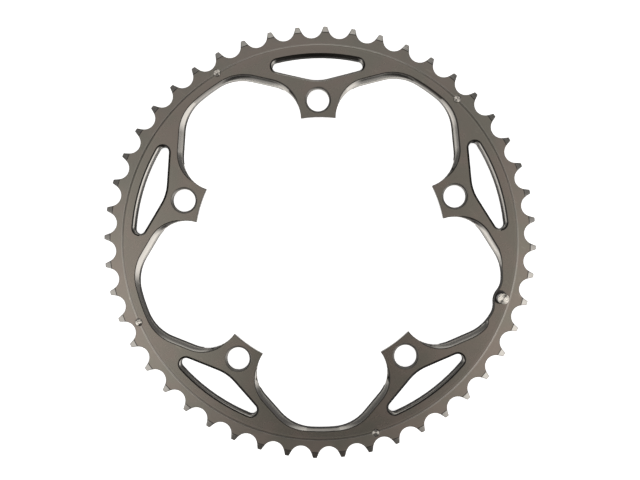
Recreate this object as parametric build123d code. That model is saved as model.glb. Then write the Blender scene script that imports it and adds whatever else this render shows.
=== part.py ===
from build123d import *
import math
import os

os.makedirs("parts", exist_ok=True)

# Chainring lying on its inner side, outer face up, axis on Z, first bolt on +Y.

# Chain and teeth
chain_pitch = 12.7
roller_diameter = 7.75
tooth_count = 48
gullet_radius = 5.0
flank_angle = 22.6
tip_height = 1.7
tooth_thickness = 2.2
bevel_length = 2.85
bevel_depth = 0.9
tooth_phase = -2.25

# Ring body
body_thickness = 4.5
tooth_band_width = 2.72
front_step_width = 0.6
front_step_height = 0.2
back_step_inset = 2.5

# Bolt tabs
bolt_count = 5
bolt_circle = 130.0
bolt_hole_diameter = 10.2
bolt_chamfer = 0.8
tab_reach = 7.8
tab_half_width = 7.95
tab_flank_radius = 15.4
tab_thickness = 2.6
seat_reach = 7.0

# Arms and pockets between the tabs
arm_slope = 13.4
arm_rise = 0.24
arm_width = 6.36
pocket_rim_width = 5.43
pocket_corner_radius = 20.0

# Rounded front edge of each pocket
rounding_mid_width = 1.33
rounding_arm_width = 2.46
rounding_flank_shift = 0.7
rounding_radius = 5.8
rounding_start = 26.0
rounding_end = 60.0
rounding_runout = 29.0
cutter_radius = 5.25

# Slots behind the bolts
slot_rim_width = 5.6
slot_vertex_radius = 20.0
slot_end_radius = 2.4
slot_flare_outer = 1.15
slot_flare_arm = 0.65
slot_flare_end = 0.95
slot_flare_depth = 0.52
slot_lip_outer = 0.4
slot_lip_end = 0.3
slot_lip_depth = 0.5

# Shift pins
pin_radius = 1.65
pin_teeth = (4, 15, 26, 42)
pin_lead = 2.7
pin_head_radius = 2.2
pin_head_height = 1.4
button_pin = 2
button_height = 0.7

# Chain drop pin and its boss
drop_pin_pocket = 4
drop_pin_setback = 2.97
drop_pin_radius = 2.5
drop_pin_height = 4.5
drop_shank_radius = 1.7
boss_reach = 1.54
boss_radius = 8.0
boss_blend_radius = 8.0

# Derived sizes
bolt_step = 360 / bolt_count
tooth_step = 360 / tooth_count
pitch_radius = chain_pitch / 2 / math.sin(math.pi / tooth_count)
root_radius = pitch_radius - roller_diameter / 2
tip_radius = pitch_radius + tip_height
bevel_radius = tip_radius - bevel_length
front_step_radius = root_radius - tooth_band_width
back_step_radius = front_step_radius - back_step_inset
plate_front = body_thickness - front_step_height
plate_back = plate_front - tooth_thickness
bolt_radius = bolt_circle / 2
bolt_hole_radius = bolt_hole_diameter / 2
tab_end_radius = bolt_radius - tab_reach
seat_radius = bolt_radius + seat_reach
seat_height = body_thickness - tab_thickness
pocket_mid_radius = front_step_radius - pocket_rim_width
pocket_arm_offset = bolt_radius + arm_rise
slot_outer_radius = front_step_radius - slot_rim_width
slot_arm_offset = pocket_arm_offset + arm_width
boss_crest_radius = pocket_mid_radius - boss_reach
drop_pin_circle_radius = boss_crest_radius + drop_pin_setback
drop_pin_angle = (drop_pin_pocket - 0.5) * bolt_step
overcut = 5.0
tip_overrun = 0.5


def polar(radius, degrees):
    angle = math.radians(degrees)
    return Vector(radius * math.cos(angle), radius * math.sin(angle))


def arc(centre, radius, start, end):
    middle = (start + end) / 2
    points = [centre + polar(radius, a) for a in (start, middle, end)]
    return ThreePointArc(*points)


def mirrored(edges):
    return [edge.mirror(Plane.YZ) for edge in reversed(edges)]


def tooth_outline():
    # The flanks run past the tips, which the turned blank then cuts off.
    half = tooth_step / 2
    slope = math.radians(flank_angle)
    centre = Vector(0, root_radius + gullet_radius)
    valley = arc(centre, gullet_radius, -180 + flank_angle, -flank_angle)
    seat = valley @ 1
    lean = Vector(math.sin(slope), math.cos(slope))
    rise = (tip_radius + tip_overrun - seat.Y) / lean.Y
    corner = seat + lean * rise
    rising = Line(seat, corner)
    falling = rising.mirror(Plane.YZ)
    next_corner = Vector(-corner.X, corner.Y).rotate(Axis.Z, -tooth_step)
    unit = [falling, valley, rising, Line(corner, next_corner)]
    turns = [tooth_phase + half + tooth_step * i for i in range(tooth_count)]
    edges = [edge.rotate(Axis.Z, turn) for turn in turns for edge in unit]
    return make_face(Wire.combine(edges)[0])


def half_pocket(mid_radius, arm_offset, flank_radius, flank_centre_x, corner_radius):
    # Half of a pocket with its bolt to the right and the pocket axis on +Y.
    slope = math.radians(arm_slope)
    centre_y = (arm_offset - flank_radius + math.sin(slope) * flank_centre_x) / math.cos(slope)
    turn = 90 - bolt_step / 2
    flank_centre = Vector(-flank_centre_x, centre_y).rotate(Axis.Z, -bolt_step / 2)
    normal_angle = turn - arm_slope
    corner_offset = arm_offset - corner_radius
    swing = math.degrees(math.acos(corner_offset / (mid_radius - corner_radius)))
    corner_angle = normal_angle + swing
    corner_centre = polar(mid_radius - corner_radius, corner_angle)
    return flank_centre, normal_angle, corner_centre, corner_angle


def pocket_edges(*shape):
    # From the tab flank to the pocket axis.
    flank_centre, normal_angle, corner_centre, corner_angle = half_pocket(*shape)
    mid_radius, _, flank_radius, _, corner_radius = shape
    flank = arc(flank_centre, flank_radius, -bolt_step / 2, normal_angle)
    corner = arc(corner_centre, corner_radius, normal_angle, corner_angle)
    side = Line(flank @ 1, corner @ 0)
    middle = arc(Vector(0, 0), mid_radius, corner_angle, 90)
    return [flank, side, corner, middle]


flank_centre_x = tab_half_width + tab_flank_radius
pocket_shape = (
    pocket_mid_radius,
    pocket_arm_offset,
    tab_flank_radius,
    flank_centre_x,
    pocket_corner_radius,
)


def crossing(centre, radius, other, other_radius):
    # Right hand point where two circles cross.
    gap = other - centre
    along = (radius**2 - other_radius**2 + gap.length**2) / (2 * gap.length)
    aside = math.sqrt(radius**2 - along**2)
    unit = gap.normalized()
    return centre + unit * along + Vector(unit.Y, -unit.X) * aside


def boss_edges():
    # Pocket half with the bump that carries the chain drop pin.
    flank, side, corner, _ = pocket_edges(*pocket_shape)
    _, normal_angle, corner_centre, corner_angle = half_pocket(*pocket_shape)
    boss = Vector(0, boss_crest_radius + boss_radius)
    outside = boss_radius + boss_blend_radius
    hub = Vector(0, 0)
    blend_centre = crossing(hub, pocket_mid_radius - boss_blend_radius, boss, outside)
    meet = math.degrees(math.atan2(blend_centre.Y, blend_centre.X))
    if meet > corner_angle:
        walls = [flank, side, corner, arc(hub, pocket_mid_radius, corner_angle, meet)]
    else:
        inside = pocket_corner_radius - boss_blend_radius
        blend_centre = crossing(corner_centre, inside, boss, outside)
        spoke = blend_centre - corner_centre
        meet = math.degrees(math.atan2(spoke.Y, spoke.X))
        walls = [flank, side, arc(corner_centre, pocket_corner_radius, normal_angle, meet)]
    lift = math.degrees(math.atan2(boss.Y - blend_centre.Y, boss.X - blend_centre.X))
    blend = arc(blend_centre, boss_blend_radius, meet, lift)
    bump = arc(boss, boss_radius, lift - 180, -90)
    return walls + [blend, bump]


def pocket_face(with_boss):
    right = boss_edges() if with_boss else pocket_edges(*pocket_shape)
    start = right[0] @ 0
    inside = Vector(0, tab_end_radius / 2)
    left_start = Vector(-start.X, start.Y)
    closing = [Line(left_start, inside), Line(inside, start)]
    edges = right + mirrored(right) + closing
    return make_face(Wire.combine(edges)[0])


def rounding_point(degrees):
    # Place on the cutter's hollow flank that leaves the given slope on the edge.
    first = math.radians(rounding_start)
    slope_there = math.radians(degrees)
    out = cutter_radius - rounding_radius * (math.sin(slope_there) - math.sin(first))
    down = rounding_radius * (math.cos(first) - math.cos(slope_there))
    return Vector(out, -down)


def cutter_half():
    # Half section of the cutter, its axis on Y and the front face at zero.
    # Two facets stand for the hollow flank.
    low = rounding_point(rounding_end)
    middle = rounding_point((rounding_start + rounding_end) / 2)
    high = rounding_point(rounding_start)
    return [
        Line((0, low.Y), low),
        Line(low, middle),
        Line(middle, high),
        Line(high, (high.X, overcut)),
        Line((high.X, overcut), (0, overcut)),
    ]


def swept(edges):
    path = Wire.combine(edges)[0]
    along = path % 0
    start = Plane(origin=path @ 0, x_dir=Vector(0, 0, 1).cross(along), z_dir=along)
    half = cutter_half()
    section = make_face(Wire.combine(half + mirrored(half))[0])
    return sweep(start * section, path=path)


def rounding_tools(with_boss):
    # Runs of the corner rounding cutter along the front edge.
    shape = (
        pocket_mid_radius + rounding_mid_width - cutter_radius,
        pocket_arm_offset + rounding_arm_width - cutter_radius,
        tab_flank_radius - cutter_radius,
        flank_centre_x + rounding_flank_shift,
        pocket_corner_radius - cutter_radius,
    )
    level = Pos(0, 0, body_thickness)
    right = pocket_edges(*shape)
    if not with_boss:
        return [level * swept(right + mirrored(right))]
    _, normal_angle, corner_centre, _ = half_pocket(*shape)
    runout = arc(corner_centre, shape[4], normal_angle, 90 - rounding_runout)
    right = right[:2] + [runout]
    half = cutter_half()
    half_section = make_face(half + [Line(half[-1] @ 1, half[0] @ 0)])
    cutter = Pos(*(runout @ 1)) * revolve(Plane.XZ * half_section, Axis.Z)
    one_side = [level * swept(right), level * cutter]
    return one_side + [tool.mirror(Plane.YZ) for tool in one_side]


def slot_face(outer_radius, arm_offset, vertex_radius, end_radius):
    # Outer arc, rounded ends and two straight sides that meet in a rounded vertex.
    slope = math.radians(arm_slope)
    end_level = (arm_offset + end_radius) / math.cos(slope)
    tilt = math.tan(slope)
    ring = outer_radius - end_radius
    a = 1 + tilt**2
    b = end_level * tilt
    c = end_level**2 - ring**2
    end_x = (-b + math.sqrt(b**2 - a * c)) / a
    end_centre = Vector(end_x, end_level + tilt * end_x)
    end_angle = math.degrees(math.atan2(end_centre.Y, end_centre.X))
    vertex_y = (arm_offset + vertex_radius) / math.cos(slope)
    vertex = arc(Vector(0, vertex_y), vertex_radius, -90, -90 + arm_slope)
    end = arc(end_centre, end_radius, -90 + arm_slope, end_angle)
    side = Line(vertex @ 1, end @ 0)
    outer = arc(Vector(0, 0), outer_radius, end_angle, 90)
    right = [vertex, side, end, outer]
    return make_face(Wire.combine(right + mirrored(right))[0])


# Turned blank with the front step and the tooth bevels
half_section = make_face(
    Polyline(
        (tab_end_radius / 2, 0),
        (back_step_radius, 0),
        (back_step_radius, plate_back),
        (tip_radius, plate_back),
        (tip_radius, plate_front - bevel_depth),
        (bevel_radius, plate_front),
        (front_step_radius, plate_front),
        (front_step_radius - front_step_width, body_thickness),
        (tab_end_radius / 2, body_thickness),
        close=True,
    )
)
ring = revolve(Plane.XZ * half_section, Axis.Z)

# Teeth
ring = ring & extrude(tooth_outline(), body_thickness)

# Seats for the crank spider on the inner side
ring = ring - extrude(Circle(seat_radius), seat_height)

# Central opening, pockets, slots and bolt holes
cuts = [Pos(0, 0, -overcut) * extrude(Circle(tab_end_radius), body_thickness + 2 * overcut)]
roundings = []
for i in range(bolt_count):
    bolt_turn = i * bolt_step
    pocket_turn = bolt_turn - bolt_step / 2
    with_boss = i == drop_pin_pocket
    pocket = Pos(0, 0, -overcut) * extrude(pocket_face(with_boss), body_thickness + 2 * overcut)
    cuts.append(Rot(0, 0, pocket_turn) * pocket)
    roundings.extend(Rot(0, 0, pocket_turn) * tool for tool in rounding_tools(with_boss))
    slot_wall = slot_face(slot_outer_radius, slot_arm_offset, slot_vertex_radius, slot_end_radius)
    slot_lip = slot_face(
        slot_outer_radius + slot_lip_outer,
        slot_arm_offset,
        slot_vertex_radius,
        slot_end_radius + slot_lip_end,
    )
    slot_mouth = slot_face(
        slot_outer_radius + slot_flare_outer,
        slot_arm_offset - slot_flare_arm,
        slot_vertex_radius,
        slot_end_radius + slot_flare_end,
    )
    slot = extrude(slot_wall, body_thickness)
    mouth = Pos(0, 0, body_thickness) * slot_mouth
    lip = Pos(0, 0, body_thickness - slot_flare_depth) * slot_lip
    throat = Pos(0, 0, body_thickness - slot_flare_depth - slot_lip_depth) * slot_wall
    flare = loft([throat, lip, mouth], ruled=True)
    cuts.append(Rot(0, 0, bolt_turn) * slot)
    cuts.append(Rot(0, 0, bolt_turn) * flare)
    hole = make_face(
        Polyline(
            (0, 0),
            (bolt_hole_radius, 0),
            (bolt_hole_radius, body_thickness - bolt_chamfer),
            (bolt_hole_radius + bolt_chamfer, body_thickness),
            (0, body_thickness),
            close=True,
        )
    )
    hole = Pos(0, bolt_radius, 0) * revolve(Plane.XZ * hole, Axis.Z)
    cuts.append(Rot(0, 0, bolt_turn) * hole)

# Shift pins
pins = {}
for number, tooth in enumerate(pin_teeth, start=1):
    pin_end = body_thickness + button_height if number == button_pin else body_thickness
    outline = [
        (0, plate_back - pin_head_height),
        (pin_head_radius, plate_back - pin_head_height),
        (pin_head_radius, plate_back),
        (pin_radius, plate_back),
        (pin_radius, pin_end),
        (0, pin_end),
    ]
    pin = revolve(Plane.XZ * make_face(Polyline(*outline, close=True)), Axis.Z)
    place = Rot(0, 0, tooth_phase + tooth * tooth_step + pin_lead) * Pos(0, front_step_radius, 0)
    pins[f"shift_pin_{number}"] = place * pin
    cuts.append(place * extrude(Circle(pin_radius), body_thickness))

# Chain drop pin
drop_place = Rot(0, 0, drop_pin_angle) * Pos(0, drop_pin_circle_radius, 0)
shank = Cylinder(drop_shank_radius, body_thickness, align=(Align.CENTER, Align.CENTER, Align.MIN))
cuts.append(drop_place * shank)
post = Cylinder(drop_pin_radius, drop_pin_height, align=(Align.CENTER, Align.CENTER, Align.MIN))
drop_pin = drop_place * (shank + Pos(0, 0, body_thickness) * post)

ring = ring - cuts
ring = ring - roundings

export_step(ring, "parts/chainring.step")
for name, pin in pins.items():
    export_step(pin, f"parts/{name}.step")
export_step(drop_pin, "parts/chain_drop_pin.step")
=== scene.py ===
import math

import bmesh
import bpy
from bpy.props import FloatProperty, FloatVectorProperty, IntProperty, PointerProperty
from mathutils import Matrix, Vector, noise


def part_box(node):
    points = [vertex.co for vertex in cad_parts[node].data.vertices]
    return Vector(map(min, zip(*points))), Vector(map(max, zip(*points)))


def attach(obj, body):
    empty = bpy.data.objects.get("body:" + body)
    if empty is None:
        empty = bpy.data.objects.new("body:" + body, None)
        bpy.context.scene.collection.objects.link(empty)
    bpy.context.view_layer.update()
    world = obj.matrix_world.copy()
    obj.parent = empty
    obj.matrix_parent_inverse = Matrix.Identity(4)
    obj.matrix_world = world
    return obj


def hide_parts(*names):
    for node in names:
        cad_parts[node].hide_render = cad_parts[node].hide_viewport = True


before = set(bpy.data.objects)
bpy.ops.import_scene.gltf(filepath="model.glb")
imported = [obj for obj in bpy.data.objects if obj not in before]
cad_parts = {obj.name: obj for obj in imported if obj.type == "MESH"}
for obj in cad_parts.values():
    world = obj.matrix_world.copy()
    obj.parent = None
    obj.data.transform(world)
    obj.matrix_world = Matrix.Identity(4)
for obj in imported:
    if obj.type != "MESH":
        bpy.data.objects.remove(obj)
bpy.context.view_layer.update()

bl_info = {
    "name": "Chainring Dresser",
    "version": (1, 0, 0),
    "blender": (4, 5, 0),
    "location": "View3D > Sidebar > Chainring",
    "description": "Gives a bicycle chainring its anodised and turned finishes and a pale stage",
    "category": "Object",
}

MM = 0.001

# Pins: radii of the shanks, height of a shift pin's head, height of the drop pin's seat,
# how uneven a staked end is, how far down and how finely, and where shading breaks
SHIFT_PINS = ("shift_pin_1", "shift_pin_3", "shift_pin_4")
BUTTON_PIN = "shift_pin_2"
DROP_PIN = "chain_drop_pin"
SHIFT_SHANK = 1.65 * MM
DROP_SHANK = 1.7 * MM
HEAD_HEIGHT = 1.4 * MM
SEAT_HEIGHT = 4.5 * MM
STAKE_WOBBLE = 0.10 * MM
STAKE_DEPTH = 0.3 * MM
STAKE_DETAIL = 900
PIN_SHARP = math.radians(35)
# Upward part of the normal from which a pin's face counts as its end, not its side
PIN_END = 0.3
# Front ends of the shift pins: radius and depth under the end, from the shank to the middle
STAKED_END = (
    (SHIFT_SHANK, 0.25 * MM),
    (1.50 * MM, 0.05 * MM),
    (1.20 * MM, 0.0),
    (0.60 * MM, 0.12 * MM),
    (0, 0.16 * MM),
)
BUTTON_END = (
    (SHIFT_SHANK, 0.72 * MM),
    (1.50 * MM, 0.50 * MM),
    (1.20 * MM, 0.20 * MM),
    (0.75 * MM, 0.04 * MM),
    (0.30 * MM, 0.0),
    (0, 0.0),
)
# Painted shade: the narrow sectors darken where a turned end shows no reflection; the all-round ones
# are dirt
# Dark sectors on each pin's end: middle and half angle in degrees, inner radius, darkness
ALL_ROUND = (0, 181, 0.0)
DIRT_AND_SHADE_SECTORS = {
    "shift_pin_1": ((*ALL_ROUND, 0.15), (268, 40, 0.2 * MM, 0.72)),
    "shift_pin_2": ((315, 38, 0.8 * MM, 0.90),),
    "shift_pin_3": ((*ALL_ROUND, 0.50), (270, 60, 0.2 * MM, 0.80), (95, 50, 0.3 * MM, 0.80)),
    "shift_pin_4": ((*ALL_ROUND, 0.25), (225, 50, 0.2 * MM, 0.55), (95, 25, 0.6 * MM, 0.45)),
    "chain_drop_pin": ((60, 13, 0.5 * MM, 0.50), (240, 13, 0.6 * MM, 0.40)),
}

# Ring: height of its front, radii and reaches of its zones, and turns of its bolt holes
RING_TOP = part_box("chainring")[1].z
FRONT_GAP = 0.01 * MM
PLATE_INNER = 88.5 * MM
BAND_INNER = PLATE_INNER + 2.2 * MM
TOOTH_INNER = 92 * MM
BOLT_OUTER = 72 * MM
WALL_OUTER = 87 * MM
BOLT_CIRCLE = 65 * MM
BOLT_REACH = 7 * MM
BOLT_TURNS = range(90, 450, 72)
SLOT_REACH = (15 * MM, 45 * MM)
BAND_LEAN = math.tan(math.radians(4))
# Corner of the right pocket's wall, along which the rounding narrows between two places in y
RUNOUT_CENTRE = Vector((62.38, -16.5)) * MM
RUNOUT_RADIUS = 20.6 * MM
RUNOUT_REACH = 3 * MM
RUNOUT_START = -3.2 * MM
RUNOUT_END = -13.0 * MM
RUNOUT_LOSS = 0.95
# Painted shadow beside the drop pin: shift from the pin's axis, radii where it fades, darkness
PIN_SHADOW_SHIFT = Vector((-0.75 * MM, 0.6 * MM, 0.0))
PIN_SHADOW_FADE = (2.8 * MM, 3.4 * MM)
PIN_SHADOW_DARK = 0.92

# Angles between faces: a facet line, a shallow edge beside a level face, a sharp edge
FACET_ANGLE = math.radians(0.2)
SHALLOW_ANGLE = math.radians(6)
SHARP_ANGLE = math.radians(24)
# Upward part of a face's normal: level, nearly level, steep enough for a dark line,
# at 45 degrees and how nearly so, facing up at all, upright, on a rounding, on any slope
LEVEL = 0.9999
NEARLY_LEVEL = 0.999
STEEP = 0.9
CHAMFER = math.sqrt(0.5)
CHAMFER_GAP = 0.02
UPWARD = 0.1
UPRIGHT = 0.05
ROUNDING = (0.4, 0.95)
SLOPE = (UPRIGHT, 0.995)
# Facet beside a rounded edge: least width, as a multiple of the rounding's width
LEAST_FACET = 2.2
# Share of a rounding's width, down from the front, that counts as its rim
RIM_SHARE = 0.8

# Darkness of the painted shade on walls, chamfers, the step, rims, creases and teeth, where 1 is
# black
WALL_DARK = 0.5
CHAMFER_DARK = 0.45
STEP_DARK = 0.25
NEAR_STEP_DARK = 0.30
RIM_DARK = 0.9
BOLT_RIM_DARK = 0.6
TOOTH_EDGE_DARK = 0.8
CREASE_DARK = 0.8
RUNOUT_DARK = 0.9
# Painted shade: dark lines along the roundings, darkest by the way they face in plan
# Dark lines of the roundings: direction in plan that is darkest, level and swing of the marks
# on rims and creases, highest mark at a rim, and marks between which a line fades in
DARK_WAY = Vector((-0.9, -0.45))
RIM_LINE = (0.64, 0.24)
CREASE_LINE = (0.4, 0.45)
CREASE_LIMIT = 0.48
LINE_FADE = (0.35, 0.8)
# Shares of the machined finish, and how much of it the lowest teeth lose as painted shade
STEP_BRIGHT = 0.6
EDGE_BRIGHT = 0.5
TOOTH_SHADE = 0.8
# Ring's finish: noise levels between which patches change, noise levels and tones of the
# speckle, tone and strength of the scratches, and swing of the roughness over the patches
PATCH_RANGE = (0.36, 0.64)
SPECKLE_RANGE = (0.3, 0.7, 0.96, 1.04)
SCRATCH_TONE = 1.5
SCRATCH_STRENGTH = 0.35
ROUGH_SWING = 0.10
# Pins' finish: noise levels and strengths of the patches, their tone, share of the grain in
# the relief, and swing of the roughness
PIN_PATCH_RANGE = (0.42, 0.66, 0.0, 0.7)
PIN_PATCH_TONE = 0.62
PIN_GRAIN_SHARE = 0.1
PIN_ROUGH_SWING = 0.12
# Relief of the ring's grain and grooves, and of the pins' grooves
RING_RELIEF = 0.0012 * MM
PIN_RELIEF = 0.045 * MM

# Soft lights of the room: turn round the ring from +X, angles of full light and of its fade,
# lowest and highest angle over the horizon with the softness of both, brightness and tint
SOFT_LIGHTS = (
    dict(turn=331, full=10, fade=38, low=-10, high=46, edge=4, level=1.72, tint=(1.00, 0.99, 0.98)),
    dict(turn=337, full=10, fade=48, low=46, high=70, edge=4, level=1.65, tint=(1.02, 0.99, 0.96)),
    dict(turn=207, full=12, fade=34, low=-10, high=47, edge=4, level=1.02, tint=(1.00, 0.99, 0.98)),
    dict(turn=205, full=28, fade=50, low=-10, high=16, edge=4, level=0.55, tint=(1.00, 0.99, 0.98)),
    dict(turn=202, full=10, fade=32, low=47, high=70, edge=4, level=2.20, tint=(1.00, 0.99, 0.97)),
    dict(turn=88, full=2, fade=34, low=26, high=36, edge=4, level=0.84, tint=(1.00, 1.00, 0.98)),
    dict(turn=88, full=8, fade=40, low=38, high=47, edge=4, level=2.30, tint=(1.00, 1.00, 0.98)),
    dict(turn=268, full=30, fade=60, low=-10, high=18, edge=6, level=0.46, tint=(1.00, 1.00, 1.00)),
    dict(turn=194, full=18, fade=56, low=68, high=84, edge=4, level=1.20, tint=(1.00, 0.99, 0.97)),
    dict(turn=350, full=10, fade=52, low=68, high=84, edge=4, level=0.58, tint=(1.04, 0.97, 0.93)),
    dict(turn=90, full=20, fade=80, low=58, high=84, edge=4, level=0.52, tint=(1.00, 1.00, 1.00)),
)
# Belts of the room: lowest and highest angle over the horizon and softness, and the ceiling's edge
ROOM_BELT = (18.0, 47.0, 4.0)
HORIZON_BELT = (-20.0, 17.0, 4.0)
CEILING_EDGE = (62.0, 70.0)
# Near side of the room, where whoever takes the picture stands: turn, full and faded half angle,
# and the shares of their light that the two belts lose there
NEAR_SIDE = (268, 18, 36)
ROOM_LOSS = 1.0
HORIZON_LOSS = 0.6
# Shadow of the lens overhead: lean towards the near side, full and faded half angle
LENS_SHADE = (2, 5, 13)

# Floor and camera
FLOOR_REACH = 12.0
FLOOR_DROP = 0.2 * MM
SENSOR_WIDTH = 36.0
CAMERA_PLACE = (-0.05 * MM, 1.05 * MM)
CAMERA_ROLL = math.radians(-0.86)


# Settings that a user would change


class RingFinish(bpy.types.PropertyGroup):
    """Edges and anodised finish of the toothed ring."""

    edge_width: FloatProperty(
        name="Edge width",
        description="Width of the small rounding that deburring leaves on every edge",
        default=0.20 * MM,
        precision=6,
        unit="LENGTH",
    )
    slot_edge_width: FloatProperty(
        name="Slot edge width",
        description="Width of the rounding round the mouth of each slot",
        default=0.36 * MM,
        precision=6,
        unit="LENGTH",
    )
    colour: FloatVectorProperty(
        name="Anodise colour",
        description="Grey of the anodised faces",
        default=(0.128, 0.116, 0.093),
        size=3,
        subtype="COLOR",
    )
    warm_colour: FloatVectorProperty(
        name="Warm patches",
        description="Browner grey where the film is a little thicker",
        default=(0.146, 0.120, 0.099),
        size=3,
        subtype="COLOR",
    )
    machined_colour: FloatVectorProperty(
        name="Machined colour",
        description="Paler grey of the bevels, the step and the rounded pocket edges",
        default=(0.400, 0.380, 0.350),
        size=3,
        subtype="COLOR",
    )
    band_tone: FloatVectorProperty(
        name="Band tone",
        description="How much paler the film is on the turned tooth band",
        default=(1.28, 1.30, 1.32),
        soft_max=2.0,
        size=3,
        subtype="COLOR",
    )
    # Painted shade: nearly black colour on the walls, rims and creases of the slots and pockets
    painted_shade_colour: FloatVectorProperty(
        name="Edge stain",
        description="Nearly black film on the walls and rims of the slots and pockets",
        default=(0.016, 0.014, 0.012),
        size=3,
        subtype="COLOR",
    )
    roughness: FloatProperty(
        name="Roughness",
        description="Roughness of the satin surface under the film",
        default=0.27,
        subtype="FACTOR",
    )
    turning_pitch: FloatProperty(
        name="Turning pitch",
        description="Distance between the rings that the lathe left on the tooth band",
        default=0.22 * MM,
        precision=6,
        unit="LENGTH",
    )
    grain_size: FloatProperty(
        name="Grain size",
        description="Size of the pits that blasting left before anodising",
        default=0.35 * MM,
        precision=6,
        unit="LENGTH",
    )
    patch_size: FloatProperty(
        name="Patch size",
        description="Size of the soft patches of differing tone",
        default=14 * MM,
        precision=5,
        unit="LENGTH",
    )


class PinFinish(bpy.types.PropertyGroup):
    """Turned finish of the steel pins."""

    colour: FloatVectorProperty(
        name="Steel colour",
        description="Colour of the bare turned steel",
        default=(0.660, 0.620, 0.560),
        size=3,
        subtype="COLOR",
    )
    roughness: FloatProperty(
        name="Roughness",
        description="Roughness of the turned steel",
        default=0.24,
        subtype="FACTOR",
    )
    turning_pitch: FloatProperty(
        name="Turning pitch",
        description="Distance between the rings that the lathe tool left",
        default=0.25 * MM,
        precision=6,
        unit="LENGTH",
    )
    # Painted shade on the sides of the pins
    side_shade_colour: FloatVectorProperty(
        name="Side colour",
        description="Dark film on the sides of the pins",
        default=(0.040, 0.036, 0.032),
        size=3,
        subtype="COLOR",
    )
    sides: IntProperty(
        name="Sides",
        description="Number of faces around each pin",
        default=56,
        min=24,
    )


class StageSettings(bpy.types.PropertyGroup):
    """Floor, light of the room and camera."""

    floor_colour: FloatVectorProperty(
        name="Floor colour",
        description="Colour of the pale floor",
        default=(0.80, 0.80, 0.79),
        size=3,
        subtype="COLOR",
    )
    floor_glow: FloatProperty(
        name="Floor glow",
        description="White that the floor adds towards the camera and in reflections",
        default=0.80,
        subtype="FACTOR",
    )
    room_level: FloatProperty(
        name="Room level",
        description="Brightness that the walls have at the height of the soft lights",
        default=0.16,
    )
    gap_level: FloatProperty(
        name="Gap level",
        description="Brightness of the room above and below the soft lights",
        default=0.02,
    )
    horizon_level: FloatProperty(
        name="Horizon level",
        description="Brightness of the pale walls near the floor",
        default=0.30,
    )
    overhead_level: FloatProperty(
        name="Overhead level",
        description="Brightness of the ceiling, where 1 is white",
        default=0.54,
    )
    near_shade: FloatProperty(
        name="Near shade",
        description="Share of its light that the ceiling loses on the near side",
        default=0.28,
        subtype="FACTOR",
    )
    lens_shade: FloatProperty(
        name="Lens shade",
        description="Share of its light that the ceiling loses round the lens",
        default=0.80,
        subtype="FACTOR",
    )
    camera_height: FloatProperty(
        name="Camera height",
        description="Height of the camera over the floor",
        default=364.5 * MM,
        unit="LENGTH",
    )
    lens: FloatProperty(
        name="Lens",
        description="Focal length on a sensor 36 mm wide",
        default=44.4,
        unit="CAMERA",
    )


# Helpers for node trees


def add_node(tree, kind, inputs=None, **settings):
    """Adds a node, sets its settings and plain inputs, and joins inputs given as sockets."""
    made = tree.nodes.new(kind)
    for name, value in settings.items():
        setattr(made, name, value)
    for name, value in (inputs or {}).items():
        if isinstance(value, bpy.types.NodeSocket):
            tree.links.new(value, made.inputs[name])
        else:
            made.inputs[name].default_value = value
    return made


def math_node(tree, operation, *values):
    """Adds a maths node and returns its result."""
    inputs = dict(enumerate(values))
    return add_node(tree, "ShaderNodeMath", inputs, operation=operation).outputs[0]


def vector_node(tree, operation, inputs, output="Vector"):
    """Adds a vector maths node and returns its result."""
    return add_node(tree, "ShaderNodeVectorMath", inputs, operation=operation).outputs[output]


def mix_colour(tree, factor, first, second, blend="MIX"):
    """Adds a colour mix and returns its result, by the places that its colour sockets have."""
    inputs = {0: factor, 6: first, 7: second}
    made = add_node(tree, "ShaderNodeMix", inputs, data_type="RGBA", blend_type=blend)
    return made.outputs[2]


def map_range(tree, value, low, high, new_low=0.0, new_high=1.0):
    """Adds a clamped map range with a soft step and returns its result."""
    made = add_node(
        tree,
        "ShaderNodeMapRange",
        {"Value": value, "From Min": low, "From Max": high, "To Min": new_low, "To Max": new_high},
        interpolation_type="SMOOTHSTEP",
    )
    return made.outputs["Result"]


def read_mark(tree, name):
    """Reads a mark that the mesh carries."""
    return add_node(tree, "ShaderNodeAttribute", attribute_name=name).outputs["Fac"]


def object_place(tree):
    """Returns the place on the object."""
    return tree.nodes.new("ShaderNodeTexCoord").outputs["Object"]


def opaque(colour):
    """Returns a colour with its alpha."""
    return (*colour, 1.0)


def new_group(name, sockets):
    """Starts a shader group with the named sockets and returns it with its way in and out."""
    group = bpy.data.node_groups.new(name, "ShaderNodeTree")
    for socket_name, way, kind, default in sockets:
        socket = group.interface.new_socket(socket_name, in_out=way, socket_type=kind)
        if default is not None:
            socket.default_value = default
    entry = group.nodes.new("NodeGroupInput")
    leave = group.nodes.new("NodeGroupOutput")
    return group, entry.outputs, leave.inputs


def grain_group(name):
    """Pits and soft patches of a blasted or cast surface."""
    group, given, result = new_group(
        name,
        (
            ("Grain Size", "INPUT", "NodeSocketFloat", 0.4 * MM),
            ("Patch Size", "INPUT", "NodeSocketFloat", 14 * MM),
            ("Grain", "OUTPUT", "NodeSocketFloat", None),
            ("Patches", "OUTPUT", "NodeSocketFloat", None),
        ),
    )
    where = object_place(group)
    for size, detail, roughness, output in (
        ("Grain Size", 2.0, 0.6, "Grain"),
        ("Patch Size", 4.0, 0.55, "Patches"),
    ):
        scale = math_node(group, "DIVIDE", 1.0, given[size])
        texture = add_node(
            group,
            "ShaderNodeTexNoise",
            {"Vector": where, "Scale": scale, "Detail": detail, "Roughness": roughness},
        )
        group.links.new(texture.outputs["Fac"], result[output])
    return group


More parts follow.
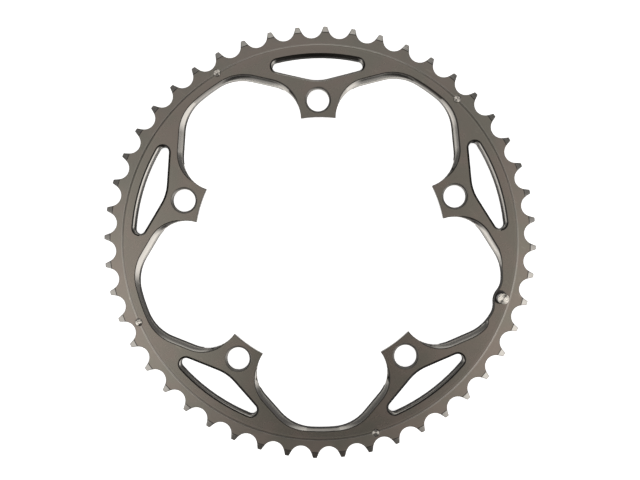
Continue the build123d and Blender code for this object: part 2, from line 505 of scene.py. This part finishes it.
def scratch_group(name):
    """Thin handling scratches that lie in one direction, broken into short strokes."""
    group, given, result = new_group(
        name,
        (
            ("Turn", "INPUT", "NodeSocketFloat", 0.0),
            ("Spacing", "INPUT", "NodeSocketFloat", 9 * MM),
            ("Scratches", "OUTPUT", "NodeSocketFloat", None),
        ),
    )
    turned = add_node(
        group,
        "ShaderNodeVectorRotate",
        {"Vector": object_place(group), "Angle": given["Turn"]},
        rotation_type="Z_AXIS",
    ).outputs["Vector"]
    scale = math_node(group, "DIVIDE", 1.0, given["Spacing"])
    sized = vector_node(group, "SCALE", {0: turned, "Scale": scale})
    wander = add_node(group, "ShaderNodeTexNoise", {"Vector": sized, "Scale": 0.8, "Detail": 1.0})
    bent = vector_node(
        group, "MULTIPLY_ADD", {0: wander.outputs["Color"], 1: (0.5, 0.5, 0.5), 2: sized}
    )
    drawn_out = vector_node(group, "MULTIPLY", {0: bent, 1: (0.22, 7.0, 1.0)})
    lines = add_node(
        group,
        "ShaderNodeTexVoronoi",
        {"Vector": drawn_out, "Scale": 1.0},
        feature="DISTANCE_TO_EDGE",
    ).outputs["Distance"]
    thin = map_range(group, lines, 0.0, 0.035, 1.0, 0.0)
    breaks = add_node(group, "ShaderNodeTexNoise", {"Vector": sized, "Scale": 2.3, "Detail": 2.0})
    kept = map_range(group, breaks.outputs["Fac"], 0.56, 0.68)
    group.links.new(math_node(group, "MULTIPLY", thin, kept), result["Scratches"])
    return group


def turning_group(name):
    """Concentric tool rings around an upright axis, and the distance from it."""
    group, given, result = new_group(
        name,
        (
            ("Axis", "INPUT", "NodeSocketVector", None),
            ("Pitch", "INPUT", "NodeSocketFloat", 0.16 * MM),
            ("Rings", "OUTPUT", "NodeSocketFloat", None),
            ("Radius", "OUTPUT", "NodeSocketFloat", None),
        ),
    )
    from_axis = vector_node(group, "SUBTRACT", {0: object_place(group), 1: given["Axis"]})
    flat = vector_node(group, "MULTIPLY", {0: from_axis, 1: (1, 1, 0)})
    radius = vector_node(group, "LENGTH", {0: flat}, "Value")
    turns = math_node(group, "DIVIDE", radius, given["Pitch"])
    wave = math_node(group, "SINE", math_node(group, "MULTIPLY", turns, math.tau))
    group.links.new(math_node(group, "MULTIPLY_ADD", wave, 0.5, 0.5), result["Rings"])
    group.links.new(radius, result["Radius"])
    return group


# Names of the shared groups, with what builds each
GROUPS = {
    "Blasted grain": grain_group,
    "Handling scratches": scratch_group,
    "Turned rings": turning_group,
}


def use_group(tree, name, **inputs):
    """Places a shared group in a material, and builds it at its first use."""
    made = tree.nodes.new("ShaderNodeGroup")
    made.node_tree = bpy.data.node_groups.get(name) or GROUPS[name](name)
    for socket, value in inputs.items():
        made.inputs[socket.replace("_", " ")].default_value = value
    return made.outputs


def new_material(name):
    """Starts a node material and returns it with its tree and its main shader."""
    material = bpy.data.materials.new(name)
    material.use_nodes = True
    tree = material.node_tree
    return material, tree, tree.nodes["Principled BSDF"]


def soft_lobe(tree, heading, turn, full, fade):
    """Masks a sector of the room that is full near one heading and fades out beside it."""
    around = math.radians(turn)
    towards = (math.cos(around), math.sin(around), 0.0)
    aligned = vector_node(tree, "DOT_PRODUCT", {0: heading, 1: towards}, "Value")
    return map_range(tree, aligned, math.cos(math.radians(fade)), math.cos(math.radians(full)))


def soft_belt(tree, rise, low, high, edge):
    """Masks a belt of the room between two angles over the horizon."""
    above = map_range(tree, rise, low - edge, low + edge)
    below = map_range(tree, rise, high - edge, high + edge, 1.0, 0.0)
    return math_node(tree, "MULTIPLY", above, below)


# Materials


def anodised_material(finish):
    """Satin grey anodised aluminium with paler machined edges, painted shade on walls and edges, and
    a turned tooth band.
    """
    material, tree, shader = new_material("anodised_aluminium")
    grain = use_group(
        tree, "Blasted grain", Grain_Size=finish.grain_size, Patch_Size=finish.patch_size
    )
    scratches = use_group(tree, "Handling scratches", Turn=0.6, Spacing=11 * MM)["Scratches"]
    rings = use_group(tree, "Turned rings", Axis=(0.0, 0.0, 0.0), Pitch=finish.turning_pitch)
    # Middle of the painted shadow beside the drop pin
    pin_shadow_axis = pin_axis(DROP_PIN) + PIN_SHADOW_SHIFT
    to_pin_shadow = use_group(tree, "Turned rings", Axis=tuple(pin_shadow_axis))["Radius"]
    machined = read_mark(tree, "machined")

    # Colour of the film, with patches, speckles and scratches, paler on the tooth band
    band = map_range(tree, rings["Radius"], PLATE_INNER, BAND_INNER)
    patches = map_range(tree, grain["Patches"], *PATCH_RANGE)
    colour = mix_colour(tree, patches, opaque(finish.colour), opaque(finish.warm_colour))
    speckle = map_range(tree, grain["Grain"], *SPECKLE_RANGE)
    colour = vector_node(tree, "SCALE", {0: colour, "Scale": speckle})
    pale = tuple(SCRATCH_TONE * channel for channel in finish.colour)
    rubbed = math_node(tree, "MULTIPLY", scratches, SCRATCH_STRENGTH)
    colour = mix_colour(tree, rubbed, colour, opaque(pale))
    colour = mix_colour(tree, band, colour, opaque(finish.band_tone), "MULTIPLY")
    colour = mix_colour(tree, machined, colour, opaque(finish.machined_colour))

    # Painted shade: marked faces, dark lines along the roundings and a painted shadow beside the
    # drop pin
    line = math_node(
        tree, "MULTIPLY", map_range(tree, read_mark(tree, "rim"), *LINE_FADE), machined
    )
    dark = math_node(tree, "MAXIMUM", read_mark(tree, "stain_and_shade"), line)
    pin_shadow = map_range(tree, to_pin_shadow, *PIN_SHADOW_FADE, PIN_SHADOW_DARK, 0.0)
    dark = math_node(tree, "MAXIMUM", dark, pin_shadow)
    colour = mix_colour(tree, dark, colour, opaque(finish.painted_shade_colour))
    tree.links.new(colour, shader.inputs["Base Color"])

    # Roughness, which each mark raises or lowers
    smoothest = finish.roughness - ROUGH_SWING / 2
    rough = math_node(tree, "MULTIPLY_ADD", grain["Patches"], ROUGH_SWING, smoothest)
    for mark, change in ((scratches, -0.06), (band, 0.08), (machined, -0.06), (dark, 0.5)):
        rough = math_node(tree, "MULTIPLY_ADD", mark, change, rough)
    tree.links.new(rough, shader.inputs["Roughness"])
    film = math_node(tree, "MULTIPLY_ADD", machined, -0.5, 0.5)
    tree.links.new(film, shader.inputs["Coat Weight"])

    # Relief of the grain and the turning grooves, and the slight fall of the tooth band
    grooves = math_node(tree, "MULTIPLY", rings["Rings"], band)
    height = math_node(tree, "ADD", grooves, grain["Grain"])
    height = math_node(tree, "MULTIPLY", height, RING_RELIEF)
    past_step = math_node(tree, "SUBTRACT", rings["Radius"], BAND_INNER)
    fall = math_node(tree, "MAXIMUM", past_step, 0.0)
    height = math_node(tree, "MULTIPLY_ADD", fall, -BAND_LEAN, height)
    bump = add_node(tree, "ShaderNodeBump", {"Strength": 1.0, "Distance": 1.0, "Height": height})
    tree.links.new(bump.outputs["Normal"], shader.inputs["Normal"])
    shader.inputs["Metallic"].default_value = 1.0
    shader.inputs["Coat Roughness"].default_value = 0.16
    shader.inputs["Coat IOR"].default_value = 1.6
    return material


def steel_material(name, finish, axis):
    """Bright turned steel with tool rings around one axis, and painted shade on its sides."""
    material, tree, shader = new_material(name)
    rings = use_group(tree, "Turned rings", Axis=tuple(axis), Pitch=finish.turning_pitch)
    grain = use_group(tree, "Blasted grain", Grain_Size=0.25 * MM, Patch_Size=1.6 * MM)
    dark = tuple(PIN_PATCH_TONE * channel for channel in finish.colour)
    stain_and_shade = map_range(tree, grain["Patches"], *PIN_PATCH_RANGE)
    colour = mix_colour(tree, stain_and_shade, opaque(finish.colour), opaque(dark))
    # Painted shade on the sides and in sectors of the end, with dirt on some ends
    colour = mix_colour(tree, read_mark(tree, "side"), colour, opaque(finish.side_shade_colour))
    tree.links.new(colour, shader.inputs["Base Color"])
    smoothest = finish.roughness - PIN_ROUGH_SWING / 2
    rough = math_node(tree, "MULTIPLY_ADD", grain["Patches"], PIN_ROUGH_SWING, smoothest)
    tree.links.new(rough, shader.inputs["Roughness"])
    height = math_node(tree, "MULTIPLY_ADD", grain["Grain"], PIN_GRAIN_SHARE, rings["Rings"])
    bump = add_node(
        tree, "ShaderNodeBump", {"Strength": 1.0, "Distance": PIN_RELIEF, "Height": height}
    )
    tree.links.new(bump.outputs["Normal"], shader.inputs["Normal"])
    shader.inputs["Metallic"].default_value = 1.0
    return material


def floor_material(settings):
    """Pale floor that keeps the object's shadow and shows white to the camera and in metal."""
    material, tree, shader = new_material("pale_floor")
    shader.inputs["Base Color"].default_value = opaque(settings.floor_colour)
    shader.inputs["Roughness"].default_value = 0.9
    shader.inputs["Specular IOR Level"].default_value = 0.0
    path = tree.nodes.new("ShaderNodeLightPath").outputs
    seen = math_node(tree, "MAXIMUM", path["Is Camera Ray"], path["Is Glossy Ray"])
    seen = math_node(tree, "MAXIMUM", seen, path["Is Transmission Ray"])
    shader.inputs["Emission Color"].default_value = (1.0, 1.0, 1.0, 1.0)
    glow = math_node(tree, "MULTIPLY", seen, settings.floor_glow)
    tree.links.new(glow, shader.inputs["Emission Strength"])
    return material


# Shapes


def finish_mesh(name, shape):
    """Turns a shape into a mesh and lets the shape go."""
    mesh = bpy.data.meshes.new(name)
    shape.to_mesh(mesh)
    shape.free()
    return mesh


def link_piece(name, mesh, material):
    """Links a finished mesh, shaded smooth, as a piece that rides on the part's only body."""
    mesh.materials.append(material)
    for face in mesh.polygons:
        face.use_smooth = True
    piece = bpy.data.objects.new(name, mesh)
    bpy.context.scene.collection.objects.link(piece)
    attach(piece, "root")
    return piece


def keep_flats(piece):
    """Keeps the large flat faces of a smooth piece flat."""
    flats = piece.modifiers.new("Flat faces", "WEIGHTED_NORMAL")
    flats.weight = 80
    flats.keep_sharp = True


def plan_way(face):
    """Returns the direction in plan that a face looks to."""
    return face.normal.xy.normalized()


def is_front(face):
    """Tells whether a face lies in the front plane of the ring."""
    return face.normal.z > LEVEL and face.calc_center_median().z > RING_TOP - FRONT_GAP


def is_inside(face):
    """Tells whether a face lies between the front and the back of the ring."""
    height = face.calc_center_median().z
    return abs(face.normal.z) < NEARLY_LEVEL or RING_TOP / 2 < height < RING_TOP - FRONT_GAP


def is_rounding(face):
    """Tells whether a face belongs to a rounded pocket or slot edge."""
    return ROUNDING[0] < face.normal.z < ROUNDING[1]


def faces_outward(face):
    """Tells whether a face looks away from the ring's axis."""
    return face.normal.xy.dot(face.calc_center_median().xy) > 0


def touches(face, test):
    """Tells whether a face has a neighbour that passes a test."""
    return any(test(other) for edge in face.edges for other in edge.link_faces if other != face)


def meets_front(corner):
    """Tells whether a rounding at a corner reaches up to the front."""
    return any(is_rounding(face) and touches(face, is_front) for face in corner.link_faces)


def near_bolt(place):
    """Tells whether a place lies at the rim of a bolt hole."""
    for turn in BOLT_TURNS:
        around = math.radians(turn)
        middle = Vector((math.cos(around), math.sin(around))) * BOLT_CIRCLE
        if (place.xy - middle).length < BOLT_REACH:
            return True
    return False


def is_real_edge(edge):
    """Tells an edge of the part from a facet line of a curved face."""
    if len(edge.link_faces) != 2:
        return False
    angle = edge.calc_face_angle(0.0)
    if angle > SHARP_ANGLE:
        return True
    level = any(abs(face.normal.z) > LEVEL for face in edge.link_faces)
    return level and angle > SHALLOW_ANGLE


def too_narrow(edge, width):
    """Tells whether a facet beside an edge is too narrow for the edge to be rounded."""
    first, second = (corner.co for corner in edge.verts)
    along = (second - first).normalized()
    for face in edge.link_faces:
        if is_rounding(face):
            reach = max((corner.co - first).cross(along).length for corner in face.verts)
            if reach < LEAST_FACET * width:
                return True
    return False


def slot_rims(shape):
    """Returns the edges round the front mouths of the five slots."""
    rims = {
        edge.index: edge
        for edge in shape.edges
        if len(edge.link_faces) == 2 and sum(is_front(face) for face in edge.link_faces) == 1
    }
    found = []
    while rims:
        waiting = [rims.pop(min(rims))]
        loop = []
        while waiting:
            edge = waiting.pop()
            loop.append(edge)
            for corner in edge.verts:
                waiting += [rims.pop(near.index) for near in corner.link_edges if near.index in rims]
        places = [corner.co for edge in loop for corner in edge.verts]
        middle = sum(places, Vector()) / len(places)
        reach = max((place - middle).length for place in places)
        if SLOT_REACH[0] < reach < SLOT_REACH[1]:
            found += loop
    return found


def slot_flanks(rims):
    """Returns the faces inside the slots."""
    waiting = [face for edge in rims for face in edge.link_faces if not is_front(face)]
    found = set(waiting)
    while waiting:
        for edge in waiting.pop().edges:
            for face in edge.link_faces:
                if face not in found and is_inside(face):
                    found.add(face)
                    waiting.append(face)
    return found


def run_out_share(place):
    """Returns how far the right pocket's rounding has faded at a place, from 0 to 1."""
    way = place.xy - RUNOUT_CENTRE
    beyond = way.length - RUNOUT_RADIUS
    near = 0 < beyond < RUNOUT_REACH and way.x > 0 and place.z > RING_TOP / 2
    if near and RUNOUT_CENTRE.y < place.y < RUNOUT_START:
        return min(1.0, (RUNOUT_START - place.y) / (RUNOUT_START - RUNOUT_END))
    return 0.0


def run_out(shape):
    """Narrows the right pocket's rounding as it nears the boss, where it fades into the wall."""
    for corner in shape.verts:
        way = corner.co.xy - RUNOUT_CENTRE
        beyond = way.length - RUNOUT_RADIUS
        kept = 1 - RUNOUT_LOSS * run_out_share(corner.co)
        if kept < 1:
            corner.co.xy = RUNOUT_CENTRE + way * ((RUNOUT_RADIUS + beyond * kept) / way.length)


def side_dark(way):
    """Returns how dark the painted shade at a wall's lower edge is: darkest where it looks sideways
    or up the ring.
    """
    return min(1.0, way.x**6 + 1.2 * max(0.0, way.y))


def wall_shade(face, flanks):
    """Returns how dark the painted shade is on a wall: on the walls of pockets and slots only."""
    radius = face.calc_center_median().xy.length
    if abs(face.normal.z) > UPRIGHT or radius > WALL_OUTER:
        return 0.0
    if radius < BOLT_OUTER and not touches(face, is_rounding):
        return 0.0
    dark = WALL_DARK + (1.0 - WALL_DARK) * side_dark(face.normal)
    return max(dark, face.normal.y**4) if face in flanks else dark


def step_shade(way):
    """Returns how dark the painted shade on the step line is by the side that it faces: light at the
    ring's top.
    """
    return STEP_DARK * (1.0 - max(0.0, way.y) ** 3) + NEAR_STEP_DARK * min(0.0, way.y) ** 4


def mouth_shade(face):
    """Returns how dark the painted shade in a slot's mouth is: none where it looks outward at the
    ring's top.
    """
    return 1.0 - max(0.0, plan_way(face).y) ** 4 if faces_outward(face) else 1.0


def mark_faces(shape, flanks, bright, stain_and_shade):
    """Marks the machined faces, and painted shade on the walls, chamfers, the step and the lowest
    teeth.
    """
    for face in shape.faces:
        place = face.calc_center_median()
        radius = place.xy.length
        slope = SLOPE[0] < face.normal.z < SLOPE[1]
        chamfer = abs(face.normal.z - CHAMFER) < CHAMFER_GAP and radius < BOLT_OUTER
        dark = wall_shade(face, flanks)
        at_step = PLATE_INNER < radius < TOOTH_INNER
        face[bright] = (STEP_BRIGHT if at_step else 1.0) * float(slope or dark > 0)
        face[stain_and_shade] = dark + CHAMFER_DARK * float(chamfer)
        if at_step and slope:
            face[stain_and_shade] = max(0.0, step_shade(plan_way(face)) - STEP_DARK)
        if radius > TOOTH_INNER and slope:
            face[bright] = 1.0 - TOOTH_SHADE * min(0.0, place.y / radius) ** 8
        if not is_front(face):
            face[stain_and_shade] = max(face[stain_and_shade], RUNOUT_DARK * run_out_share(place) ** 3)


def mark_slots(slots, flanks, stain_and_shade):
    """Marks the painted shade inside the slots."""
    for face in flanks:
        if is_rounding(face):
            face[stain_and_shade] = max(face[stain_and_shade], min(0.0, plan_way(face).y) ** 4)
    for edge in slots:
        for face in edge.link_faces:
            if not is_front(face) and faces_outward(face):
                face[stain_and_shade] = mouth_shade(face)


def mark_lines(shape, rim):
    """Marks the painted dark lines at the corners along the front rims and the lower creases of the
    roundings.
    """
    for edge in shape.edges:
        if len(edge.link_faces) != 2:
            continue
        lower, upper = sorted(edge.link_faces, key=lambda face: face.normal.z)
        way = plan_way(lower)
        if is_front(upper) and is_rounding(lower) and lower.normal.z < STEEP:
            for corner in edge.verts:
                corner[rim] = RIM_LINE[0] + RIM_LINE[1] * way.dot(DARK_WAY)
        elif abs(lower.normal.z) < UPRIGHT and is_rounding(upper):
            dark = CREASE_LINE[0] + CREASE_LINE[1] * side_dark(way)
            for corner in edge.verts:
                limit = CREASE_LIMIT if meets_front(corner) else 1.0
                corner[rim] = max(corner[rim], min(dark, limit))


def bevel_edges(shape, edges, width):
    """Rounds the given edges in two steps and returns the new faces."""
    made = bmesh.ops.bevel(
        shape,
        geom=edges,
        offset=width,
        offset_type="OFFSET",
        segments=2,
        profile=0.5,
        affect="EDGES",
        clamp_overlap=False,
        loop_slide=True,
    )
    return made["faces"]


def round_edges(shape, edges, width, bright, stain_and_shade):
    """Rounds the edges of the ring and marks the new faces by where they lie, with painted shade on
    rims, creases and tooth edges.
    """
    for face in bevel_edges(shape, edges, width):
        place = face.calc_center_median()
        upward = face.normal.z > UPWARD
        on_rim = upward and place.z > RING_TOP - RIM_SHARE * width
        on_tooth = upward and place.xy.length > TOOTH_INNER
        at_step = place.xy.length > PLATE_INNER
        if at_step:
            rim_dark = step_shade(place.xy.normalized())
        else:
            rim_dark = BOLT_RIM_DARK if near_bolt(place) else RIM_DARK
        face[bright] = 0.0 if on_rim and at_step else EDGE_BRIGHT
        face[stain_and_shade] = TOOTH_EDGE_DARK * float(on_tooth) + rim_dark * float(on_rim)
        if upward and not on_rim and not at_step:
            face[bright] = 1.0
            face[stain_and_shade] = CREASE_DARK * side_dark(plan_way(face))


def clean_copy(node):
    """Copies a solid's mesh without the facet lines inside its flat faces."""
    shape = bmesh.new()
    shape.from_mesh(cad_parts[node].data)
    bmesh.ops.remove_doubles(shape, verts=shape.verts, dist=0.001 * MM)
    bmesh.ops.dissolve_limit(
        shape,
        angle_limit=FACET_ANGLE,
        verts=shape.verts,
        edges=shape.edges,
        use_dissolve_boundaries=False,
    )
    return shape


def ring_mesh(finish):
    """Copies the ring's solid, marks its zones and rounds its edges."""
    shape = clean_copy("chainring")
    run_out(shape)
    shape.normal_update()
    shape.edges.index_update()
    # Marks: machined finish, painted shade on faces and painted dark lines at corners
    bright = shape.faces.layers.float.new("machined")
    stain_and_shade = shape.faces.layers.float.new("stain_and_shade")
    rim = shape.verts.layers.float.new("rim")
    slots = slot_rims(shape)
    flanks = slot_flanks(slots)
    mark_faces(shape, flanks, bright, stain_and_shade)
    mark_slots(slots, flanks, stain_and_shade)
    mark_lines(shape, rim)
    mouths = set(slots)
    edges = [
        edge
        for edge in shape.edges
        if is_real_edge(edge)
        and edge not in mouths
        and not flanks.issuperset(edge.link_faces)
        and not too_narrow(edge, finish.edge_width)
    ]
    round_edges(shape, edges, finish.edge_width, bright, stain_and_shade)
    # Slot mouths get a wider rounding with painted shade
    for face in bevel_edges(shape, slot_rims(shape), finish.slot_edge_width):
        face[bright] = EDGE_BRIGHT
        face[stain_and_shade] = mouth_shade(face)
    return finish_mesh("ring_body", shape)


def pin_axis(node):
    """Returns the point where a pin's axis meets the floor."""
    low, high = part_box(node)
    return Vector(((low.x + high.x) / 2, (low.y + high.y) / 2, 0.0))


def drop_profile(low, high, wide):
    """Returns the drop pin's outline: a shank in the ring, a wide post and a dished end."""
    return (
        (0, low),
        (1.5 * MM, low),
        (DROP_SHANK, low + 0.2 * MM),
        (DROP_SHANK, low + SEAT_HEIGHT),
        (wide - 0.15 * MM, low + SEAT_HEIGHT),
        (wide, low + SEAT_HEIGHT + 0.15 * MM),
        (wide, high - 0.32 * MM),
        (wide - 0.08 * MM, high - 0.16 * MM),
        (wide - 0.30 * MM, high - 0.02 * MM),
        (wide - 0.45 * MM, high),
        (0.35 * MM, high - 0.10 * MM),
        (0, high - 0.06 * MM),
    )


def shift_profile(low, high, wide, end):
    """Returns a shift pin's outline: a round head at the back, a shank and the given end."""
    return (
        (0, low),
        (wide - 0.35 * MM, low),
        (wide - 0.10 * MM, low + 0.10 * MM),
        (wide, low + 0.35 * MM),
        (wide, low + HEAD_HEIGHT),
        (SHIFT_SHANK, low + HEAD_HEIGHT),
        *((radius, high - depth) for radius, depth in end),
    )


def pin_profile(node):
    """Returns a pin's outline, as radii and heights."""
    low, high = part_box(node)
    wide = (high.x - low.x) / 2
    if node == DROP_PIN:
        return drop_profile(low.z, high.z, wide)
    return shift_profile(low.z, high.z, wide, BUTTON_END if node == BUTTON_PIN else STAKED_END)


def lathe(profile, axis, sides):
    """Turns a profile round an upright axis."""
    shape = bmesh.new()
    rows = []
    for radius, height in profile:
        if radius == 0:
            rows.append([shape.verts.new((axis.x, axis.y, height))])
            continue
        row = []
        for side in range(sides):
            turn = math.tau * side / sides
            x = axis.x + radius * math.cos(turn)
            y = axis.y + radius * math.sin(turn)
            row.append(shape.verts.new((x, y, height)))
        rows.append(row)
    for lower, upper in zip(rows, rows[1:]):
        for side in range(sides):
            after = (side + 1) % sides
            if len(lower) == 1:
                shape.faces.new((lower[0], upper[after], upper[side]))
            elif len(upper) == 1:
                shape.faces.new((lower[side], lower[after], upper[0]))
            else:
                shape.faces.new((lower[side], lower[after], upper[after], upper[side]))
    return shape


def pin_mesh(name, node, sides):
    """Turns a pin, makes a staked end uneven, and marks painted shade on its sides and in dark
    sectors of its end.
    """
    axis = pin_axis(node)
    profile = pin_profile(node)
    shape = lathe(profile, axis, sides)
    if node in SHIFT_PINS:
        top = max(height for radius, height in profile)
        for corner in shape.verts:
            if corner.co.z > top - STAKE_DEPTH:
                corner.co.z -= STAKE_WOBBLE * abs(noise.noise(corner.co * STAKE_DETAIL))
    bmesh.ops.recalc_face_normals(shape, faces=shape.faces)
    mark = shape.faces.layers.float.new("side")
    for face in shape.faces:
        out = (face.calc_center_median() - axis).xy
        turn = math.degrees(math.atan2(out.y, out.x))
        # Painted shade on the sides, and in the listed sectors of the end
        face[mark] = float(abs(face.normal.z) < PIN_END)
        for middle, half, inner, darkness in DIRT_AND_SHADE_SECTORS[node]:
            off = abs((turn - middle + 180) % 360 - 180)
            if off < half and out.length > inner and face.normal.z > PIN_END:
                face[mark] = darkness
    return finish_mesh(name, shape)


# Operators


class CHAINRING_OT_dress_ring(bpy.types.Operator):
    """Rounds the edges of the toothed ring and gives it its anodised finish"""

    bl_idname = "chainring.dress_ring"
    bl_label = "Dress ring"

    def execute(self, context):
        """Makes the dressed ring in place of its solid."""
        finish = context.scene.chainring_ring
        piece = link_piece("ring_body", ring_mesh(finish), anodised_material(finish))
        keep_flats(piece)
        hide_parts("chainring")
        return {"FINISHED"}


class CHAINRING_OT_dress_pins(bpy.types.Operator):
    """Turns the shift pins and the chain drop pin with their staked and chamfered ends"""

    bl_idname = "chainring.dress_pins"
    bl_label = "Dress pins"

    def execute(self, context):
        """Makes each turned pin in place of its solid."""
        finish = context.scene.chainring_pins
        for node in (*SHIFT_PINS, BUTTON_PIN, DROP_PIN):
            name = f"{node}_turned"
            material = steel_material(f"turned_steel_{node}", finish, pin_axis(node))
            piece = link_piece(name, pin_mesh(name, node, finish.sides), material)
            piece.data.set_sharp_from_angle(angle=PIN_SHARP)
            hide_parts(node)
        return {"FINISHED"}


class CHAINRING_OT_set_stage(bpy.types.Operator):
    """Sets the pale floor, the soft light of the room and the camera straight above the ring"""

    bl_idname = "chainring.set_stage"
    bl_label = "Set stage"

    def execute(self, context):
        """Makes the stage and chooses the plain view."""
        settings = context.scene.chainring_stage
        self.lay_floor(context, settings)
        self.light_room(context, settings)
        self.place_camera(context, settings)
        context.scene.view_settings.view_transform = "Standard"
        return {"FINISHED"}

    def lay_floor(self, context, settings):
        """Lays a wide plain floor just under the ring."""
        shape = bmesh.new()
        bmesh.ops.create_grid(shape, x_segments=2, y_segments=2, size=FLOOR_REACH)
        mesh = finish_mesh("floor", shape)
        mesh.materials.append(floor_material(settings))
        floor = bpy.data.objects.new("floor", mesh)
        floor.location.z = -FLOOR_DROP
        context.scene.collection.objects.link(floor)

    def light_room(self, context, settings):
        """Lights the room with pale belts, a ceiling and the soft lights."""
        world = bpy.data.worlds.new("studio_room")
        context.scene.world = world
        world.use_nodes = True
        tree = world.node_tree
        way = tree.nodes.new("ShaderNodeTexCoord").outputs["Generated"]
        height = add_node(tree, "ShaderNodeSeparateXYZ", {"Vector": way}).outputs["Z"]
        rise = math_node(tree, "DEGREES", math_node(tree, "ARCSINE", height))
        level_way = vector_node(tree, "MULTIPLY", {0: way, 1: (1, 1, 0)})
        heading = vector_node(tree, "NORMALIZE", {0: level_way})
        near = soft_lobe(tree, heading, *NEAR_SIDE)
        lean, full, fade = (math.radians(angle) for angle in LENS_SHADE)
        towards_lens = (0.0, -math.sin(lean), math.cos(lean))
        to_lens = vector_node(tree, "DOT_PRODUCT", {0: way, 1: towards_lens}, "Value")
        lens = map_range(tree, to_lens, math.cos(fade), math.cos(full))
        ceiling = math_node(
            tree,
            "MULTIPLY",
            map_range(tree, rise, *CEILING_EDGE),
            math_node(tree, "MULTIPLY_ADD", near, -settings.near_shade, 1.0),
        )
        total = settings.gap_level
        for zone, level, shade, loss in (
            (soft_belt(tree, rise, *ROOM_BELT), settings.room_level, near, ROOM_LOSS),
            (soft_belt(tree, rise, *HORIZON_BELT), settings.horizon_level, near, HORIZON_LOSS),
            (ceiling, settings.overhead_level, lens, settings.lens_shade),
        ):
            left = math_node(tree, "MULTIPLY_ADD", shade, -loss, 1.0)
            lit = math_node(tree, "MULTIPLY", zone, left)
            total = math_node(tree, "MULTIPLY_ADD", lit, level, total)
        for light in SOFT_LIGHTS:
            mask = math_node(
                tree,
                "MULTIPLY",
                soft_lobe(tree, heading, light["turn"], light["full"], light["fade"]),
                soft_belt(tree, rise, light["low"], light["high"], light["edge"]),
            )
            colour = tuple(light["level"] * channel for channel in light["tint"])
            glow = vector_node(tree, "SCALE", {0: colour, "Scale": mask})
            total = vector_node(tree, "ADD", {0: total, 1: glow})
        tree.links.new(total, tree.nodes["Background"].inputs["Color"])

    def place_camera(self, context, settings):
        """Places the camera over the ring, looking straight down."""
        camera = bpy.data.cameras.new("camera")
        camera.lens = settings.lens
        camera.sensor_width = SENSOR_WIDTH
        holder = bpy.data.objects.new("camera", camera)
        holder.location = (*CAMERA_PLACE, settings.camera_height)
        holder.rotation_euler = (0.0, 0.0, CAMERA_ROLL)
        context.scene.collection.objects.link(holder)
        context.scene.camera = holder


class CHAINRING_PT_panel(bpy.types.Panel):
    """Lists the chainring's settings and steps."""

    bl_idname = "CHAINRING_PT_panel"
    bl_label = "Chainring"
    bl_space_type = "VIEW_3D"
    bl_region_type = "UI"
    bl_category = "Chainring"

    def draw(self, context):
        """Draws each group of settings with the step that uses it."""
        for group, operator in (
            ("chainring_ring", "chainring.dress_ring"),
            ("chainring_pins", "chainring.dress_pins"),
            ("chainring_stage", "chainring.set_stage"),
        ):
            settings = getattr(context.scene, group)
            box = self.layout.box()
            for name in settings.bl_rna.properties.keys():
                if name not in ("rna_type", "name"):
                    box.prop(settings, name)
            box.operator(operator)


CLASSES = (
    RingFinish,
    PinFinish,
    StageSettings,
    CHAINRING_OT_dress_ring,
    CHAINRING_OT_dress_pins,
    CHAINRING_OT_set_stage,
    CHAINRING_PT_panel,
)


def register():
    """Registers the classes and hangs the settings on the scene."""
    for item in CLASSES:
        bpy.utils.register_class(item)
    bpy.types.Scene.chainring_ring = PointerProperty(type=RingFinish)
    bpy.types.Scene.chainring_pins = PointerProperty(type=PinFinish)
    bpy.types.Scene.chainring_stage = PointerProperty(type=StageSettings)


def unregister():
    """Takes the settings and the classes away again."""
    del bpy.types.Scene.chainring_stage
    del bpy.types.Scene.chainring_pins
    del bpy.types.Scene.chainring_ring
    for item in reversed(CLASSES):
        bpy.utils.unregister_class(item)


def main():
    """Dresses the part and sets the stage."""
    register()
    bpy.ops.chainring.dress_ring()
    bpy.ops.chainring.dress_pins()
    bpy.ops.chainring.set_stage()
    bpy.context.view_layer.update()


if __name__ == "__main__":
    main()
